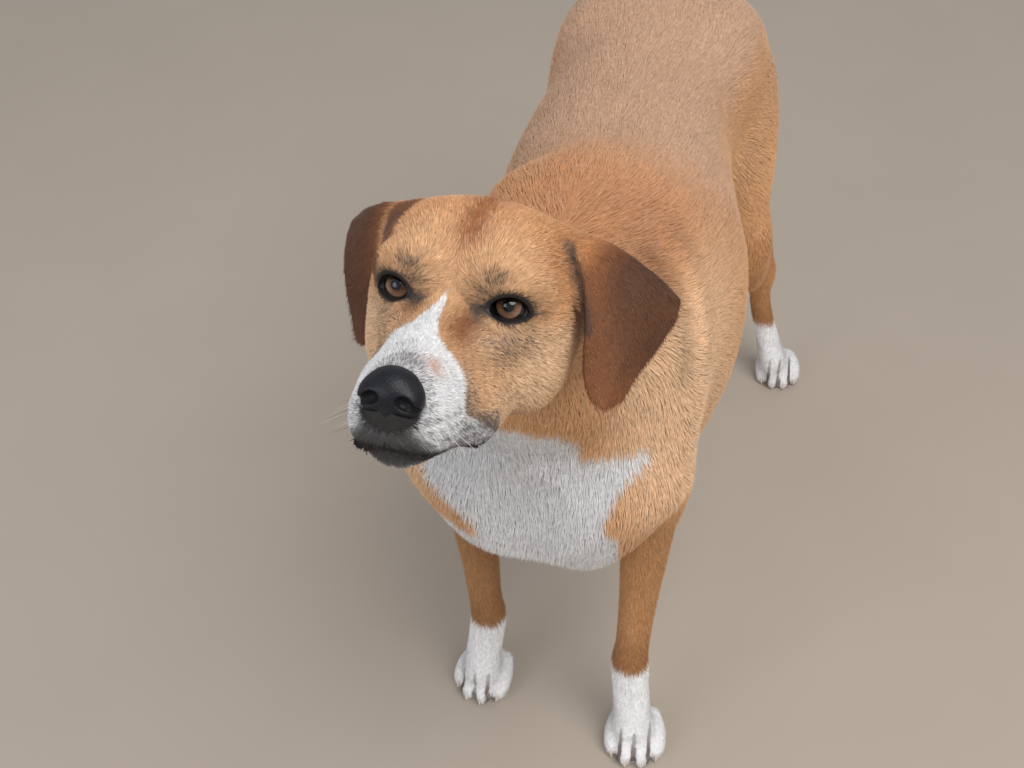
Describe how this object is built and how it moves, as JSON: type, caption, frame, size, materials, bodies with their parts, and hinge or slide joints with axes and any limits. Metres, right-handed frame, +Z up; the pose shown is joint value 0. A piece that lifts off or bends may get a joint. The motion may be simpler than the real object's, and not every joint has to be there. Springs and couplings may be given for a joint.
{
  "type": "dog",
  "caption": "Life-size standing dog, short-haired, head raised and turned to its right, hanging ears, long tail",
  "frame": {"origin": "middle of the bounding box, at the floor the paws stand on", "axes": "+Z up, -Y the way the body faces, +X the dog's own left"},
  "size_m": [0.3036, 0.9552, 0.7172],
  "materials": {
    "coat_tan": "short tan fur",
    "coat_brown": "short dark brown fur on the ears",
    "coat_white": "short white fur on the paws",
    "nose_leather": "moist black nose skin",
    "eye_brown": "wet brown eye",
    "claw_horn": "pale horn"
  },
  "bodies": {
    "root": {"claw_front_left_1": "claw_horn", "claw_front_left_2": "claw_horn", "claw_front_left_3": "claw_horn", "claw_front_left_4": "claw_horn", "claw_front_right_1": "claw_horn", "claw_front_right_2": "claw_horn", "claw_front_right_3": "claw_horn", "claw_front_right_4": "claw_horn", "claw_hind_left_1": "claw_horn", "claw_hind_left_2": "claw_horn", "claw_hind_left_3": "claw_horn", "claw_hind_left_4": "claw_horn", "claw_hind_right_1": "claw_horn", "claw_hind_right_2": "claw_horn", "claw_hind_right_3": "claw_horn", "claw_hind_right_4": "claw_horn", "ear_left": "coat_brown", "ear_right": "coat_brown", "eye_left": "eye_brown", "eye_right": "eye_brown", "foreleg_left": "coat_tan", "foreleg_right": "coat_tan", "head": "coat_tan", "hindleg_left": "coat_tan", "hindleg_right": "coat_tan", "neck": "coat_tan", "nose": "nose_leather", "paw_front_left": "coat_white", "paw_front_right": "coat_white", "paw_hind_left": "coat_white", "paw_hind_right": "coat_white", "tail": "coat_tan", "trunk": "coat_tan"}
  },
  "joints": []
}
